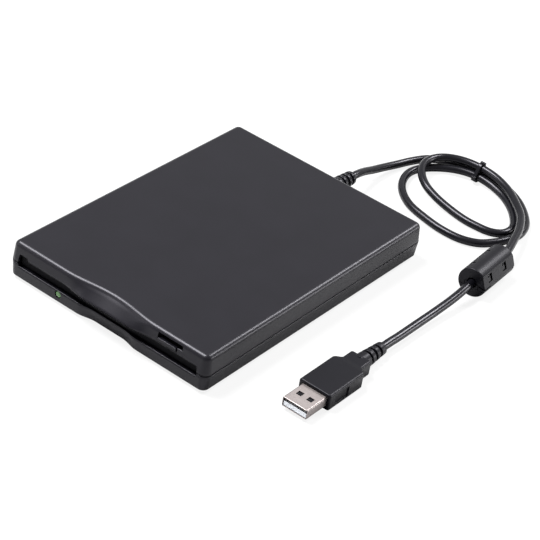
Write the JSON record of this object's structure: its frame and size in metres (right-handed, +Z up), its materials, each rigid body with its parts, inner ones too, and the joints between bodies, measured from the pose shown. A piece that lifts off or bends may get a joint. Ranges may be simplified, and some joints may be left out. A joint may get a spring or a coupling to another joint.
{
  "type": "external floppy disk drive",
  "caption": "Slim external disk drive with a slot and flap, eject button, carrier and head mechanism, and a looped cord with a ferrite clip and plug",
  "frame": {"origin": "under the middle of the case, on the surface that the feet stand on", "axes": "+X to the right as seen from the slot, +Y from the slot to the back with the cord, +Z up"},
  "size_m": [0.142, 0.2232, 0.0172],
  "materials": {
    "case_plastic": "fine moulded grain, slight violet tint",
    "dark_plastic": "smooth moulded",
    "cord_plastic": "glossy extruded and moulded",
    "lens_green": "clear green window",
    "foot_rubber": "matte",
    "steel_sheet": "zinc plated sheet",
    "steel_bright": "ground and plated",
    "plug_steel": "nickel plated",
    "board_green": "solder mask",
    "socket_white": "moulded nylon",
    "ferrite_grey": "sintered ferrite"
  },
  "bodies": {
    "case": {"top_cover": "case_plastic", "bottom_cover": "case_plastic", "strain_relief": "dark_plastic", "media_switch": "dark_plastic", "protect_switch": "dark_plastic", "controller_chip": "dark_plastic", "bridge_chip": "dark_plastic", "usb_cord": "cord_plastic", "cord_tail": "cord_plastic", "cord_tie": "cord_plastic", "ferrite_case_lower": "cord_plastic", "plug_overmold": "cord_plastic", "led_lens": "lens_green", "rubber_foot_1": "foot_rubber", "rubber_foot_2": "foot_rubber", "rubber_foot_3": "foot_rubber", "rubber_foot_4": "foot_rubber", "chassis_tray": "steel_sheet", "chassis_lid": "steel_sheet", "spindle_motor_base": "steel_sheet", "stepper_motor": "steel_sheet", "case_screw_1": "steel_bright", "case_screw_2": "steel_bright", "chassis_screw_1": "steel_bright", "chassis_screw_2": "steel_bright", "slide_spring_left": "steel_bright", "slide_spring_right": "steel_bright", "guide_rod": "steel_bright", "crystal": "steel_bright", "plug_shell": "plug_steel", "led_board": "board_green", "drive_board": "board_green", "usb_board": "board_green", "plug_tongue": "socket_white", "led_chip": "socket_white", "drive_ribbon_socket": "socket_white", "usb_ribbon_socket": "socket_white", "board_ribbon": "socket_white", "cord_socket": "socket_white", "cord_connector": "socket_white", "ferrite_core_lower": "ferrite_grey"},
    "door": {"slot_door": "dark_plastic"},
    "slide": {"slide_plate": "steel_sheet", "eject_button": "case_plastic"},
    "carrier": {"disk_carrier": "steel_sheet"},
    "lever": {"shutter_lever": "steel_sheet"},
    "spindle": {"spindle_rotor": "steel_sheet", "spindle_hub": "steel_bright", "spindle_shaft": "steel_bright", "drive_pin": "steel_bright"},
    "carriage": {"head_carriage": "dark_plastic", "lower_head": "ferrite_grey"},
    "upper_arm": {"upper_head_arm": "steel_sheet", "upper_head": "ferrite_grey"},
    "lead": {"lead_screw": "steel_bright"},
    "media_pin": {"media_switch_pin": "socket_white"},
    "protect_pin": {"protect_switch_pin": "socket_white"},
    "ferrite_lid": {"ferrite_case_upper": "cord_plastic", "ferrite_core_upper": "ferrite_grey"}
  },
  "joints": [
    {"name": "door_swing", "type": "hinge", "parent": "case", "child": "door", "pos_m": [0, -0.06865, 0.0118], "axis": [1, 0, 0], "range_deg": [0, 80], "stiffness_Nm_per_rad": 0.0002},
    {"name": "carrier_lift", "type": "slide", "parent": "case", "child": "carrier", "axis": [0, 0, -1], "range_m": [0, 0.0022]},
    {"name": "eject_slide", "type": "slide", "parent": "case", "child": "slide", "axis": [0, -1, 0], "range_m": [0, 0.0045]},
    {"name": "lever_swing", "type": "hinge", "parent": "carrier", "child": "lever", "pos_m": [-0.041, 0.02, 0.01235], "axis": [0, 0, 1], "range_deg": [0, 33], "stiffness_Nm_per_rad": 0.001},
    {"name": "spindle_spin", "type": "hinge", "parent": "case", "child": "spindle", "pos_m": [0, -0.018, 0.0047], "axis": [0, 0, 1], "continuous": true},
    {"name": "head_travel", "type": "slide", "parent": "case", "child": "carriage", "axis": [0, -1, 0], "range_m": [0, 0.0148]},
    {"name": "lead_screw_spin", "type": "hinge", "parent": "case", "child": "lead", "pos_m": [-0.017, 0.0284, 0.0092], "axis": [0, 1, 0], "range_deg": [0, 1776.5]},
    {"name": "arm_lift", "type": "hinge", "parent": "carriage", "child": "upper_arm", "pos_m": [0, 0.05, 0.01275], "axis": [1, 0, 0], "range_deg": [0, 8]},
    {"name": "media_pin_press", "type": "slide", "parent": "case", "child": "media_pin", "axis": [0, 0, -1], "range_m": [0, 0.0005], "stiffness_N_per_m": 20},
    {"name": "protect_pin_press", "type": "slide", "parent": "case", "child": "protect_pin", "axis": [0, 0, -1], "range_m": [0, 0.0005], "stiffness_N_per_m": 20},
    {"name": "ferrite_lid_swing", "type": "hinge", "parent": "case", "child": "ferrite_lid", "pos_m": [0.07588, 0.07764, 0.0045], "axis": [0.0628, -0.998, 0], "range_deg": [0, 100]}
  ],
  "couplings": [
    {"joint": "eject_slide", "follows": "carrier_lift", "ratio": 2.045},
    {"joint": "arm_lift", "follows": "carrier_lift", "rad_per_m": 63.4},
    {"joint": "lead_screw_spin", "follows": "head_travel", "rad_per_m": 2094.4}
  ]
}
